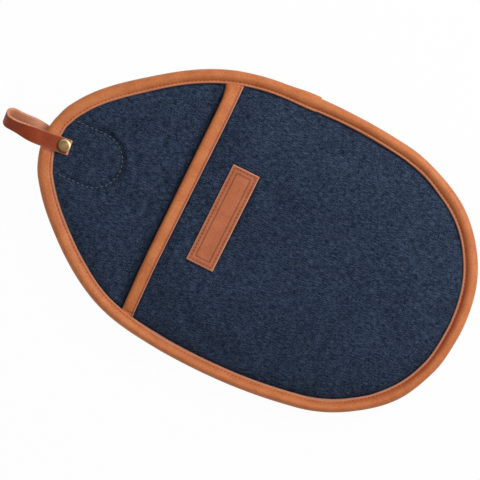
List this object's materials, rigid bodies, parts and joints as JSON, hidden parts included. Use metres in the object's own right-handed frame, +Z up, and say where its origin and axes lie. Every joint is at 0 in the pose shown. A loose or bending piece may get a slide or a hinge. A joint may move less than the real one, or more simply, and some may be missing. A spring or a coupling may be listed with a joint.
{
  "type": "oven mitt",
  "caption": "Egg-shaped padded denim oven mitt with a hand pocket, tan leather bound edges, a plain leather label and a leather hanging loop that swivels on a brass rivet.",
  "frame": {"origin": "middle of the bounding box's bottom face, on the surface the mitt lies on", "axes": "+X along the mitt from its narrow end with the loop to its wide end, +Y across it to the flank with the binding's lapped end, +Z up from the base to the pocket"},
  "size_m": [0.3391, 0.2012, 0.0272],
  "materials": {
    "denim": "dark navy twill denim, matt, fine lighter flecks",
    "lining": "plain navy cotton, matt",
    "wadding": "off-white felted wadding",
    "backing": "stiff woven interlining",
    "binding_leather": "smooth tan leather tape, soft sheen",
    "label_leather": "pale tan leather with cut edges, soft sheen",
    "strap_leather": "red-brown grain side, lighter flesh side and edges",
    "brass": "antique brass, lightly brushed"
  },
  "bodies": {
    "mitt": {"base_back_denim": "denim", "base_inner_denim": "denim", "base_wadding": "wadding", "rivet_backing": "backing", "pocket_denim": "denim", "pocket_wadding": "wadding", "pocket_lining": "lining", "edge_binding": "binding_leather", "mouth_binding": "binding_leather", "label_patch": "label_leather", "rivet_cap": "brass", "rivet_stud": "brass"},
    "loop": {"hang_loop": "strap_leather"}
  },
  "joints": [
    {"name": "loop_swivel", "type": "hinge", "parent": "mitt", "child": "loop", "pos_m": [-0.1247, 0, 0.0078], "axis": [0, 0, 1], "range_deg": [-30, 30]}
  ]
}
